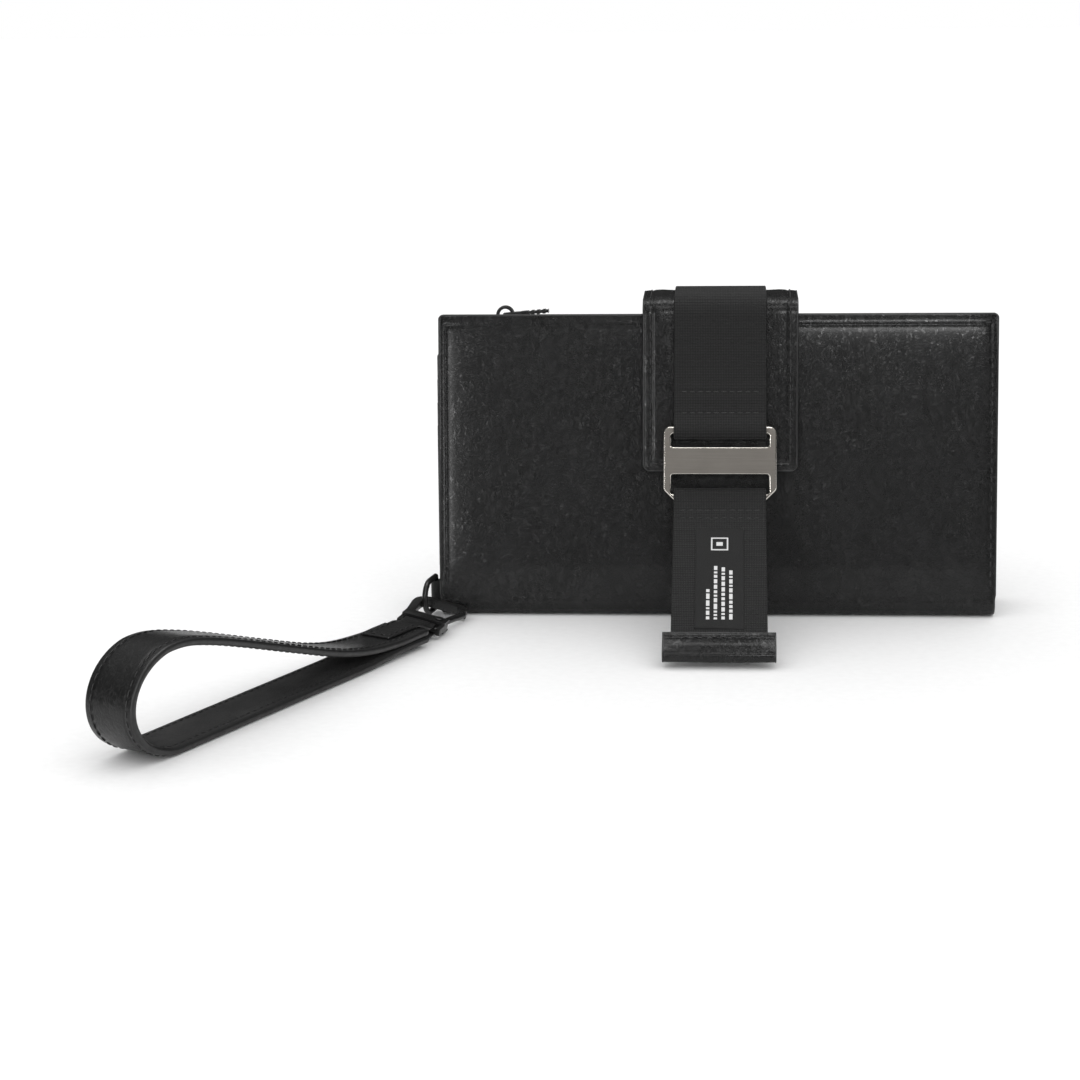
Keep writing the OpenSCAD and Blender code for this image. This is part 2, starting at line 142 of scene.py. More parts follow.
def ramp(tree, source, stops):
    """source, turned into a colour or a grey by (position, value) stops."""
    r = tree.nodes.new("ShaderNodeValToRGB")
    while len(r.color_ramp.elements) < len(stops):
        r.color_ramp.elements.new(0.5)
    for e, (pos, value) in zip(r.color_ramp.elements, stops):
        e.position = pos
        e.color = (*value, 1) if isinstance(value, tuple) else (value, value, value, 1)
    tree.links.new(source, r.inputs[0])
    return r.outputs[0]


def math_node(tree, op, *terms):
    n = node(tree, "ShaderNodeMath", _operation=op)
    for i, v in enumerate(terms):
        if isinstance(v, (int, float)):
            n.inputs[i].default_value = v
        else:
            tree.links.new(v, n.inputs[i])
    return n.outputs[0]


def mixed(tree, a, b, share):
    """share of a and the rest of b."""
    return math_node(tree, "ADD", math_node(tree, "MULTIPLY", a, share),
                     math_node(tree, "MULTIPLY", b, 1 - share))


def bump(tree, b, heights):
    """Chain of bumps: (height output, strength, distance in mm)."""
    last = None
    for height, strength, distance in heights:
        n = node(tree, "ShaderNodeBump", Strength=strength, Distance=distance * MM)
        tree.links.new(height, n.inputs["Height"])
        if last:
            tree.links.new(last, n.inputs["Normal"])
        last = n.outputs[0]
    tree.links.new(last, b.inputs["Normal"])


def leather(name, dark, light, rough, grain, crinkle, coat=0.15, flat_space=True):
    """Glazed leather: pores, stretched crinkles and a slow wave, with worn lighter patches. The crinkles'
    crease lines are also darker in the colour, as painted shade in the creases.
    """
    m, t, b = new_material(name, Coat_Weight=coat, Coat_Roughness=0.22, Specular_IOR_Level=0.28)
    space = uv_coords if flat_space else coords
    fine = texture(t, "Voronoi", space(t), Scale=0.95, Randomness=1.0, _feature="SMOOTH_F1")
    crease = texture(t, "Noise", space(t, (1.8, 1.05, 1)), Scale=0.24, Detail=6.0, Roughness=0.62,
                     Distortion=1.1)
    lines = ramp(t, crease.outputs[0], [(0.40, 1.0), (0.485, 0.72), (0.5, 0.0), (0.515, 0.72), (0.6, 1.0)])
    pores = texture(t, "Noise", space(t), Scale=2.1, Detail=3.0, Roughness=0.6)
    wave = texture(t, "Noise", space(t, (1.3, 0.8, 1)), Scale=0.035, Detail=3.0, Roughness=0.5)
    # painted shade in the creases: the crinkle lines darken the leather's tone through this multiply
    mix = node(t, "ShaderNodeMix", Factor=0.35, _data_type="RGBA", _blend_type="MULTIPLY")
    t.links.new(ramp(t, wave.outputs[0], [(0.38, dark), (0.66, light)]), mix.inputs[6])
    t.links.new(lines, mix.inputs[7])
    t.links.new(mix.outputs[2], b.inputs["Base Color"])
    patch = ramp(t, wave.outputs[0], [(0.3, rough + 0.07), (0.7, rough - 0.06)])
    pore_rough = math_node(t, "MULTIPLY_ADD", pores.outputs[0], 0.16, -0.08)
    t.links.new(math_node(t, "ADD", patch, pore_rough), b.inputs["Roughness"])
    bump(t, b, [(wave.outputs[0], 0.35, 1.0), (lines, crinkle, 0.34), (fine.outputs[0], grain, 0.16),
                (pores.outputs[0], grain * 0.7, 0.06)])
    return m


def coated(name, dark, light, rough, scale, strength, depth):
    """A plain coat, such as paint or satin nylon. rough: its roughness where it is dark and light."""
    m, t, b = new_material(name)
    n = texture(t, "Noise", coords(t), Scale=scale, Detail=3.0)
    t.links.new(ramp(t, n.outputs[0], [(0.3, dark), (0.7, light)]), b.inputs["Base Color"])
    t.links.new(ramp(t, n.outputs[0], [(0.3, rough[0]), (0.7, rough[1])]), b.inputs["Roughness"])
    bump(t, b, [(n.outputs[0], strength, depth)])
    return m


def cloth(name, dark, light, cell, rough=0.75, sheen=0.25, slant=0.0, strength=0.7, object_space=False):
    """Woven cloth: two crossed waves make the threads cell mm apart, slant turns them into a twill. The
    colour follows the weave's height, darker in the hollows between the threads as painted shade.
    """
    m, t, b = new_material(name, Roughness=rough, Specular_IOR_Level=0.2, Sheen_Weight=sheen,
                           Sheen_Roughness=0.45)
    space = coords(t, turn=(math.pi / 2, 0, 0)) if object_space else uv_coords(t)
    space = mapped(t, space, turn=(0, 0, slant))
    waves = [texture(t, "Wave", space, Scale=math.pi / 10 / cell, Distortion=0.4, Detail=1.0,
                     _bands_direction=axis) for axis in "XY"]
    height = math_node(t, "MULTIPLY", *(w.outputs["Fac"] for w in waves))
    fuzz = texture(t, "Noise", space, Scale=1.4, Detail=4.0, Roughness=0.7)
    # painted shade: the colour is darker where the weave is low, between the threads, mixed with random fuzz
    # tone
    tone = mixed(t, height, fuzz.outputs[0], 0.7)
    t.links.new(ramp(t, tone, [(0.1, dark), (0.8, light)]), b.inputs["Base Color"])
    bump(t, b, [(height, strength, 0.2), (fuzz.outputs[0], 0.25, 0.1)])
    return m


def metal(name, dark, light, rough, metallic=1.0, streak=(0.05, 3.0, 3.0), strength=0.12):
    """Brushed or satin metal: fine streaks in colour, roughness and height."""
    m, t, b = new_material(name, Metallic=metallic)
    n = texture(t, "Noise", coords(t, streak), Scale=1.0, Detail=5.0, Roughness=0.65)
    cloudy = texture(t, "Noise", coords(t), Scale=0.12, Detail=2.0)
    tone = mixed(t, n.outputs[0], cloudy.outputs[0], 0.6)
    t.links.new(ramp(t, tone, [(0.3, dark), (0.7, light)]), b.inputs["Base Color"])
    t.links.new(ramp(t, tone, [(0.3, rough + 0.06), (0.7, rough - 0.05)]), b.inputs["Roughness"])
    bump(t, b, [(n.outputs[0], strength, 0.05)])
    return m


def thread(name, dark, light):
    """Twisted sewing thread; its colour is darker in the grooves of the twist, as painted shade."""
    m, t, b = new_material(name, Roughness=0.42, Specular_IOR_Level=0.4)
    w = texture(t, "Wave", coords(t), Scale=0.9, Distortion=0.6, Detail=1.0, _bands_direction="DIAGONAL")
    # painted shade: the twist's wave darkens the colour in its grooves and lightens it on its ridges
    t.links.new(ramp(t, w.outputs["Fac"], [(0.2, dark), (0.8, light)]), b.inputs["Base Color"])
    bump(t, b, [(w.outputs["Fac"], 0.5, 0.08)])
    return m


MAT = {
    "leather": leather("leather_glazed", 0.0018, 0.0055, 0.25, 0.55, 1.0, coat=0.22),
    "leather_card": leather("leather_card", 0.010, 0.020, 0.46, 0.4, 0.3, coat=0.0),
    "leather_strap": leather("leather_strap", 0.004, 0.010, 0.34, 0.42, 0.4),
    "leather_inner": leather("leather_inner", 0.030, 0.050, 0.58, 0.5, 0.3, coat=0.0),
    "leather_block": leather("leather_block", 0.010, 0.020, 0.45, 0.3, 0.3, coat=0.0, flat_space=False),
    "edge": coated("edge_paint", 0.004, 0.010, (0.5, 0.36), 0.5, 0.3, 0.15),
    "lining": cloth("lining_twill", 0.012, 0.030, 0.55, slant=math.radians(35)),
    "webbing": cloth("webbing_nylon", 0.004, 0.034, 0.62, rough=0.55, sheen=0.05, strength=0.9),
    "label": cloth("label_satin", 0.003, 0.008, 0.30, rough=0.5, sheen=0.1, strength=0.35),
    "print": cloth("label_print", 0.62, 0.80, 0.30, rough=0.6, sheen=0.0, strength=0.3),
    "tape": cloth("zip_tape", 0.010, 0.026, 0.45, sheen=0.1),
    "thread": thread("thread_black", 0.006, 0.030),
    "nickel": metal("nickel_brushed", (0.13, 0.121, 0.109), (0.175, 0.163, 0.148), 0.42),
    # painted highlight: the buckle's rounded edges are the same nickel as its face made far brighter; their
    # lower roughness is their polish
    "nickel_edge_highlight": metal("nickel_edge_highlight", (0.62, 0.59, 0.54), (0.74, 0.71, 0.66), 0.2, strength=0.04),
    "black": metal("black_metal", 0.018, 0.036, 0.30, metallic=0.6, streak=(1, 1, 1), strength=0.06),
    "steel": metal("snap_steel", 0.20, 0.34, 0.32),
    "steel_dark": metal("screw_steel", 0.05, 0.09, 0.3),
    "lining_block": cloth("lining_block", 0.012, 0.030, 0.55, object_space=True),
    "teeth": coated("zip_nylon", 0.010, 0.020, (0.36, 0.36), 0.8, 0.2, 0.04),
}
# what a sheet's face, edge and underside are made of
GLAZED = [MAT["leather"], MAT["edge"], MAT["leather_inner"]]
STRAP = [MAT["leather_strap"], MAT["edge"], MAT["leather_inner"]]
CARD = [MAT["leather_card"], MAT["edge"], MAT["leather_inner"]]
TWILL = [MAT["lining"]] * 3


# ---------------- mesh helpers
def new_object(name, data):
    ob = bpy.data.objects.new(name, data)
    bpy.context.collection.objects.link(ob)
    return ob


def finish_mesh(name, verts, faces, materials, smooth=True, flat=None, face_mats=None):
    """A mesh object, verts in mm. flat gives each vertex its flat coordinates, for the weave and grain."""
    me = bpy.data.meshes.new(name)
    me.from_pydata([tuple(c * MM for c in v) for v in verts], [], faces)
    for mat in materials:
        me.materials.append(mat)
    if face_mats:
        me.polygons.foreach_set("material_index", face_mats)
    layer = me.attributes.new("flat", "FLOAT_VECTOR", "POINT")
    layer.data.foreach_set("vector", [float(c) for v in flat or verts for c in v])
    me.validate()
    bm = bmesh.new()
    bm.from_mesh(me)
    bmesh.ops.recalc_face_normals(bm, faces=bm.faces)
    bm.to_mesh(me)
    bm.free()
    if smooth:
        me.shade_smooth()
    return new_object(name, me)


def spread(lo, hi, step, extra=()):
    """Stations from lo to hi about step apart, with extra ones kept."""
    n = max(1, round((hi - lo) / step))
    got = sorted({round(lo + (hi - lo) * i / n, 4) for i in range(n + 1)} | {round(e, 4) for e in extra})
    return [g for i, g in enumerate(got) if i == 0 or g - got[i - 1] > 1e-3]


# a rounded edge: (inset as a share of the rim, depth as a share of the thickness)
RIM = [(0.45, 0.10), (0.12, 0.30), (0.0, 0.5), (0.12, 0.70), (0.45, 0.90)]


def slab(name, us, vs, place, t, mats, rim=None, height=None):
    """A soft sheet with rounded painted edges. us and vs are its stations in mm, place(u, v, d) puts the
    point d mm below its face, and height(u, v) lifts the face. mats: face, edge, underside."""
    rim = rim or min(0.45 * t, 0.7)
    verts, flat, faces, face_mats = [], [], [], []

    def squeeze(w, stations, r):
        lo, hi = stations[0], stations[-1]
        return lo + r + (w - lo) / (hi - lo) * (hi - lo - 2 * r)

    def add(u, v, r, d):
        u, v = squeeze(u, us, r), squeeze(v, vs, r)
        verts.append(place(u, v, d))
        flat.append((u, v, 0.0))
        return len(verts) - 1
    nu, nv = len(us), len(vs)
    top = [[add(u, v, rim, -height(u, v) if height else 0.0) for v in vs] for u in us]
    low = [[add(u, v, rim, t) for v in vs] for u in us]
    for i in range(nu - 1):
        for j in range(nv - 1):
            faces.append((top[i][j], top[i + 1][j], top[i + 1][j + 1], top[i][j + 1]))
            faces.append((low[i][j], low[i][j + 1], low[i + 1][j + 1], low[i + 1][j]))
            face_mats += [0, 2]
    ring = [(i, 0) for i in range(nu)] + [(nu - 1, j) for j in range(1, nv)]
    ring += [(i, nv - 1) for i in range(nu - 2, -1, -1)] + [(0, j) for j in range(nv - 2, 0, -1)]
    loops = [[top[i][j] for i, j in ring]]
    for inset, depth in RIM:
        loops.append([add(us[i], vs[j], rim * inset, depth * t) for i, j in ring])
    loops.append([low[i][j] for i, j in ring])
    for a, b in zip(loops[:-1], loops[1:]):
        for k in range(len(ring)):
            k2 = (k + 1) % len(ring)
            faces.append((a[k], b[k], b[k2], a[k2]))
            face_mats.append(1)
    return finish_mesh(name, verts, faces, mats, flat=flat, face_mats=face_mats)


def corner_inset(v, v0, v1, r0, r1):
    """How much narrower a sheet is at height v, where its ends are rounded by r0 and r1."""
    for d, r in ((v - v0, r0), (v1 - v, r1)):
        if d < r:
            return r - math.sqrt(max(r * r - (r - d) ** 2, 0.0))
    return 0.0


# one stitch: (place along it as a share of its length, height and thickness as shares of its width)
STITCH = [(-0.5, -0.30, 0.30), (-0.42, 0.02, 0.75), (-0.25, 0.17, 1.0), (0.0, 0.22, 1.0), (0.25, 0.17, 1.0),
          (0.42, 0.02, 0.75), (0.5, -0.30, 0.30)]


def tube_faces(base, rows, sides):
    """Faces of a closed tube whose rows of points start at index base."""
    faces = []
    for start in range(base, base + (rows - 1) * sides, sides):
        for q in range(sides):
            q2 = (q + 1) % sides
            faces.append((start + q, start + q2, start + sides + q2, start + sides + q))
    last = base + (rows - 1) * sides
    return faces + [tuple(range(base, base + sides)), tuple(reversed(range(last, last + sides)))]


def distances(pts):
    """How far each point of a line is from its start."""
    marks = [0.0]
    for a, b in zip(pts, pts[1:]):
        marks.append(marks[-1] + (b - a).length)
    return marks


def stretch(marks, s):
    """Which stretch of a line has the place s on it, and how far along the stretch that is, 0 to 1."""
    i = bisect_right(marks, s, 1, len(marks) - 1) - 1
    return i, (s - marks[i]) / max(marks[i + 1] - marks[i], 1e-9)


def stitches(name, runs, pitch=3.5, length=2.7, width=0.6):
    """Sewn runs. Each run is a list of (point, outward normal); a stitch is a small arched thread."""
    verts, faces, sides = [], [], 6
    for run in runs:
        pts, normals = zip(*run)
        marks = distances(pts)
        count = max(1, int(marks[-1] / pitch))
        for k in range(count):
            mid = (k + 0.5) * marks[-1] / count
            tilt = rnd.uniform(-0.06, 0.06)
            base = len(verts)
            for rel, up, size in STITCH:
                i, f = stretch(marks, min(max(mid + rel * length, 0.0), marks[-1]))
                n = normals[i].lerp(normals[i + 1], f).normalized()
                side = (pts[i + 1] - pts[i]).normalized().cross(n).normalized()
                c = pts[i].lerp(pts[i + 1], f) + n * (up * width * 0.85) + side * (tilt * rel * length)
                for q in range(sides):
                    a = 2 * math.pi * q / sides
                    verts.append(c + (side * math.cos(a) + n * math.sin(a) * 0.7) * (width / 2 * size))
            faces += tube_faces(base, len(STITCH), sides)
    return finish_mesh(name, verts, faces, [MAT["thread"]])


def soften(name, cad, body, width, mat="black", slot="black_metal", segments=3, angle=28):
    """Puts a copy of a CAD node, with its sharp edges rounded off, in place of it."""
    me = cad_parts[cad].data.copy()
    me.name = name
    me.materials.clear()
    me.materials.append(MAT[mat])
    me.polygons.foreach_set("material_index", [0] * len(me.polygons))
    bm = bmesh.new()
    bm.from_mesh(me)
    bmesh.ops.remove_doubles(bm, verts=bm.verts, dist=2e-6)
    bmesh.ops.dissolve_limit(bm, angle_limit=math.radians(1.5), verts=bm.verts, edges=bm.edges)
    bm.to_mesh(me)
    bm.free()
    me.shade_smooth()
    ob = new_object(name, me)
    mod = ob.modifiers.new("round", "BEVEL")
    mod.width = width * MM
    mod.segments = segments
    mod.limit_method = "ANGLE"
    mod.angle_limit = math.radians(angle)
    mod.harden_normals = True
    put(ob, body, cad, slot=slot)


def stand_in(ob, nodes, slot):
    """The piece replaces the CAD nodes, which it hides; slot is not used."""
    if nodes:
        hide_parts(*nodes)


def put(ob, body, *nodes, slot=None):
    """The piece moves with body and stands in for the CAD nodes."""
    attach(ob, body)
    stand_in(ob, nodes, slot)


class Line:
    """A drawn line in the YZ plane, in mm, for sheets whose middle is at x = mid. side is 1 or -1, for
    which side of the line is outward."""
    def __init__(self, pts, side, mid=0.0):
        self.mid = mid
        p = self.p = [Vector(q) for q in pts]
        self.s = distances(p)
        self.length = self.s[-1]
        ways = [(b - a).normalized() for a, b in zip(p[:1] + p, p[1:] + p[-1:])]
        self.n = [Vector((way.y, -way.x)) * side for way in ways]

    def find(self, s):
        """The point s along the line and its outward normal, in the plane."""
        i, f = stretch(self.s, s)
        return self.p[i].lerp(self.p[i + 1], f), self.n[i].lerp(self.n[i + 1], f).normalized()

    def normal(self, s):
        _, n = self.find(min(max(s, 0.0), self.length))
        return Vector((0, n.x, n.y))

    def at(self, s, d=0.0):
        """y and z of the point s along the line and d below its outward side."""
        p, n = self.find(s)
        return tuple(p - n * d)

    def place(self, u, s, d):
        """The point u across, s along the line and d below its outward side."""
        return Vector((self.mid + u, *self.at(s, d)))


def circle(cy, cz, r, angles):
    """Points of a circle in the YZ plane, at angles in degrees from +Y."""
    return [(cy + r * math.cos(math.radians(a)), cz + r * math.sin(math.radians(a))) for a in angles]


def arc(cy, cz, r, a0, a1, n):
    """Points of an arc of n steps in the YZ plane; the angle is 0 towards +Y."""
    return circle(cy, cz, r, [a0 + (a1 - a0) * i / n for i in range(n + 1)])


def yz(p):
    """A point's place in the YZ plane."""
    return (p.y, p.z)


def smooth_line(pts, step):
    """The same drawn line as a smooth curve through its points."""
    p = [Vector(q) for q in pts]
    out = []
    for i in range(len(p) - 1):
        a, b, c, d = p[max(i - 1, 0)], p[i], p[i + 1], p[min(i + 2, len(p) - 1)]
        n = max(1, round((c - b).length / step))
        for k in range(n):
            t = k / n
            out.append(0.5 * ((2 * b) + (c - a) * t + (2 * a - 5 * b + 4 * c - d) * t * t
                              + (3 * b - a - 3 * c + d) * t ** 3))
    return out + [p[-1]]


def bumpy(seed, scale, amount):
    """A slow soft unevenness of a surface."""
    r = random.Random(seed)
    waves = [(r.uniform(0.5, 1.6) / scale, r.uniform(0.5, 1.6) / scale, r.uniform(0, 6.3))
             for _ in range(6)]

    def h(u, v):
        return amount * sum(math.sin(a * u + b * v + c) for a, b, c in waves) / 3
    return h


def sewn_edge(u0, u1, v0, v1, insets, wave, roll=0.22, groove=0.16, pillow=0.0):
    """Height of a leather face: its edges roll down, a groove follows the seams, and its middle swells.
    insets: distance of the seam from the u0, u1, v0 and v1 edges, or None."""
    def h(u, v):
        d = (u - u0, u1 - u, v - v0, v1 - v)
        z = wave(u, v) - roll * math.exp(-min(d) / 1.6)
        for k in d:
            z += pillow * (1 - math.exp(-k / 5.0) - 0.75)
        past = [a - b for a, b in zip(d, insets) if b is not None]
        hits = [math.exp(-(x / 0.55) ** 2) for k, x in enumerate(past)
                if all(other > -0.4 for other in past[:k] + past[k + 1:])]
        return z - groove * max(hits, default=0.0)
    return h


def near(lo, hi, insets):
    """Extra stations round a seam near both ends of a range."""
    return [w for k in insets for w in (lo + k, hi - k)]


# ---------------- covers
half = BODY_W / 2
FOLD_STEPS = 10
front_line = Line([(-5, 0)] + arc(-BASE_D / 2 + FOLD_R + 0.7, FOLD_R, FOLD_R, 270, 184.5, FOLD_STEPS)
                  + [yz(front(0, 0, z)) for z in spread(8, FRONT_H, 4)], -1)
back_line = Line([(-4.7, 0)] + arc(BASE_D / 2 - FOLD_R + 0.4, FOLD_R, FOLD_R, 270, 357.5, FOLD_STEPS)
                 + [yz(back(0, 0, z)) for z in spread(8, BACK_H, 4)], 1)


def cover(name, line, wave_seed):
    """A leather cover from the middle of the base up over its fold, and where its fold ends."""
    length = line.length
    fold = line.s[FOLD_STEPS + 2]

    def place(u, v, d):
        k = (half - corner_inset(v, fold, length, 0.3, 2.0)) / half
        return line.place(u * k, v, d)
    us = spread(-half, half, 3.0, near(-half, half, (0.4, 1.0, 1.6, 1.9, 2.1, 2.3, 2.5, 2.7, 3.2, 4.5)))
    vs = spread(0, length, 1.7, near(0, length, (0.5, 1.2, 2.0, 3.2, 3.45, 3.7, 3.95, 4.3))
                + [fold, fold + 0.7, fold + 1.5])
    shape = sewn_edge(-half, half, 0, length, (COVER_SEAM, COVER_SEAM, None, COVER_TOP_SEAM),
                      bumpy(wave_seed, 38, 0.16), pillow=0.9)

    def height(u, v):
        """Flat under the base and round the fold, so that it stands on the table."""
        return shape(u, v) * min(max((v - fold + 1) / 12, 0.0), 1.0)
    return slab(name, us, vs, place, LEATHER, GLAZED, height=height), fold


def along(line, u, s0, s1, step):
    """A run of stitches along a line's surface."""
    return [(line.place(u, s, 0.1), line.normal(s)) for s in spread(s0, s1, step)]


def across(line, s, u0, u1, step, d=0.1):
    """A run of stitches across a line's surface."""
    return [(line.place(u, s, d), line.normal(s)) for u in spread(u0, u1, step)]


def cover_seams(name, line, low):
    """The seams up both sides of a cover from low, and along its top."""
    top, side = line.length - COVER_TOP_SEAM, half - COVER_SEAM
    return stitches(name, [along(line, -side, low, top, 3), along(line, side, low, top, 3),
                           across(line, top, -side, side, 6)])


front_skin, front_fold = cover("front_leather", front_line, 3)
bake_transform(front_skin)
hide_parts("cover_front")
put(cover_seams("front_seams", front_line, front_fold + 3.5), "front_cover")
back_skin, back_fold = cover("back_leather", back_line, 5)
put(back_skin, "pouch", "cover_back", "cover_spine", slot="leather")
put(cover_seams("back_seams", back_line, back_fold + 2.0), "pouch")


# ---------------- sheets inside
SHEET_LOW = 8.0                            # lower edge of the linings and the pocket
POCKET_FACE = -9.9                         # front of the zipped pocket in the back cover's frame
pocket_half = POCKET_W / 2


def back_sheet(name, x0, x1, z0, z1, y0, t, mats, rim=None, height=None, extra=()):
    """A flat sheet in the back cover's frame, its face at y0 looking forwards."""
    mid, w = (x0 + x1) / 2, (x1 - x0) / 2

    def place(u, v, d):
        k = (w - corner_inset(v, z0, z1, 2.0, 1.5)) / w
        return back(mid + (u - mid) * k, y0 + d, v)
    us = spread(x0, x1, 3.0, near(x0, x1, (0.3, 0.8, 1.5)) + list(extra))
    vs = spread(z0, z1, 3.0, near(z0, z1, (0.2, 0.5, 0.9, 1.5, 2.0)))
    return slab(name, us, vs, place, t, mats, rim=rim, height=height)


def front_sheet(name, hw, z0, z1, y0, t, mats):
    """A flat sheet of half width hw in the front cover's frame, its face at y0 looking backwards."""
    def place(u, v, d):
        k = (hw - corner_inset(v, z0, z1, 2, 2)) / hw
        return front(u * k, y0 - d, v)
    us = spread(-hw, hw, 4, near(-hw, hw, (0.5, 1.2)))
    vs = spread(z0, z1, 4, near(z0, z1, (0.3, 0.8, 1.4, 2.0)))
    return slab(name, us, vs, place, t, mats)


put(front_sheet("front_lining_cloth", half - 2, SHEET_LOW, FRONT_H - 2, LEATHER + 0.6, 0.6, TWILL),
    "front_cover", "front_lining", slot="lining")
put(back_sheet("pocket_wall_cloth", -pocket_half, pocket_half, SHEET_LOW, ZIP_Z + 0.6, POCKET_FACE, 1.0,
               TWILL), "pouch", "pocket_front_wall", slot="lining")
put(back_sheet("back_lining_cloth", -half + 3, half - 3, SHEET_LOW, ZIP_Z - 0.05, -3.0, 0.6, TWILL),
    "pouch", "back_lining", slot="lining")

CARD_T, CARD_LOW, CARD_SEAM, CARD_TOP_SEAM = 0.8, 12, 2.2, 2.4
card_left = -half - 2
facing = Vector((0, -math.cos(BACK_LEAN), math.sin(BACK_LEAN)))


def card_seam(face, xs, zs):
    """A run of stitches on a card layer's face."""
    return [(back(x, face + 0.05, z), facing) for x in xs for z in zs]


layers = [("card_panel", 97, "card_panel"), ("card_pocket_top", 88, "card_pocket_1"),
          ("card_pocket_middle", 79, "card_pocket_2"), ("card_pocket_low", 70, "card_pocket_3")]
for i, (name, top, cad) in enumerate(layers):
    face = POCKET_FACE - (i + 1) * CARD_T
    relief = sewn_edge(card_left, pocket_half, CARD_LOW, top, (CARD_SEAM, CARD_SEAM, None, CARD_TOP_SEAM),
                       bumpy(20 + i, 30, 0.08), roll=0.1, groove=0.08)
    put(back_sheet(name + "_leather", card_left, pocket_half, CARD_LOW, top, face, CARD_T, CARD, rim=0.36,
                   height=relief, extra=near(card_left, pocket_half, (2.0, 2.4))),
        "pouch", cad, slot="card_leather")
    rows = [card_seam(face, spread(card_left + 3, pocket_half - 2, 6), [top - CARD_TOP_SEAM])]
    if cad == "card_pocket_3":
        rows += [card_seam(face, [x], spread(CARD_LOW + 2, top - 4, 4))
                 for x in (card_left + CARD_SEAM, -4.0, pocket_half - CARD_SEAM)]
    put(stitches(name + "_seams", rows), "pouch")

# ---------------- zip
TAPE_W, TAPE_T = 0.85, 0.6
TEETH_HALF, TOOTH_PITCH = 90.6, 1.84


def tape(name, y0, cad):
    """A strip of zip tape that starts at y0 in the back cover's frame."""
    def place(u, v, d):
        return back(u, v, ZIP_Z + TAPE_T - d)
    us = spread(-pocket_half, pocket_half, 5, near(-pocket_half, pocket_half, (0.4,)))
    put(slab(name, us, spread(y0, y0 + TAPE_W, 0.42), place, TAPE_T, [MAT["tape"]] * 3, rim=0.15),
        "pouch", cad, slot="zip_tape")


tape("tape_back", -2.4 - TAPE_W, "zip_tape_back")
tape("tape_front", -8.9, "zip_tape_front")


def teeth(name, root, tip, phase, cad):
    """A row of rounded coil teeth that reach from the tape past the middle line."""
    verts, faces, sides = [], [], 8
    sections = [(0.0, 0.62), (0.25, 0.9), (0.7, 0.85), (0.86, 1.25), (1.0, 0.7)]
    x = -TEETH_HALF + phase
    while x < TEETH_HALF + 0.4:
        base = len(verts)
        for f, size in sections:
            y = root + (tip - root) * f
            for q in range(sides):
                a = 2 * math.pi * (q + 0.5) / sides
                verts.append(back(x + 0.36 * size * math.cos(a), y,
                                  ZIP_Z + 0.35 + 0.78 * math.sin(a) * min(size, 1.0)))
        faces += tube_faces(base, len(sections), sides)
        x += TOOTH_PITCH
    put(finish_mesh(name, verts, faces, [MAT["teeth"]]), "pouch", cad, slot="zip_teeth")


teeth("teeth_back", -3.1, -6.1, 0.0, "zip_teeth_back")
teeth("teeth_front", -8.2, -5.2, TOOTH_PITCH / 2, "zip_teeth_front")
soften("slider_metal", "zip_slider", "slider", 0.3)
soften("puller_loop", "puller_link", "puller", 0.22)
soften("puller_handle", "puller_grip", "puller", 0.22)

# ---------------- closing tab
# middles of the tab's two bends: first their heights in the covers' frames, then their places
bend_front_z = (CREST - BEND_R + (BEND_R - TAB_CLEAR) * math.sin(FRONT_LEAN)) / math.cos(FRONT_LEAN)
bend_back_z = (CREST - BEND_R - BEND_R * math.sin(BACK_LEAN)) / math.cos(BACK_LEAN)
bend_front, bend_back = yz(front(0, BEND_R - TAB_CLEAR, bend_front_z)), yz(back(0, -BEND_R, bend_back_z))


def tab_line(k, low, back_low, foot=()):
    """Outer line of a layer whose outside is k from the inside of the tab."""
    pts = [yz(front(0, -TAB_CLEAR - k, z)) for z in spread(low, bend_front_z - 0.5, 3)]
    pts += arc(*bend_front, BEND_R + k, 171, 90, 10)
    pts += [(y, CREST + k) for y in spread(bend_front[0] + 1, bend_back[0] - 1, 1.2)]
    pts += arc(*bend_back, BEND_R + k, 90, -5, 10)
    pts += [yz(back(0, k, z)) for z in reversed(spread(back_low, bend_back_z - 0.5, 3))]
    return Line(list(foot) + pts, -1, TAB_X)


def over_tab(ob, *nodes, slot=None):
    """The piece, which lies over the tab's fold from the pouch to the tab's front half, keeps its place in
    the world and stands in for the CAD nodes.
    """
    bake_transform(ob)
    stand_in(ob, nodes, slot)


TAB_SEAM, TAB_CORNER = 3.0, 3.0


def tab_place(line, hw):
    """Places points of a layer of the tab, whose corners are rounded."""
    def place(u, v, d):
        k = (hw - corner_inset(v, 0, line.length, TAB_CORNER, TAB_CORNER)) / hw
        return line.place(u * k, v, d)
    return place


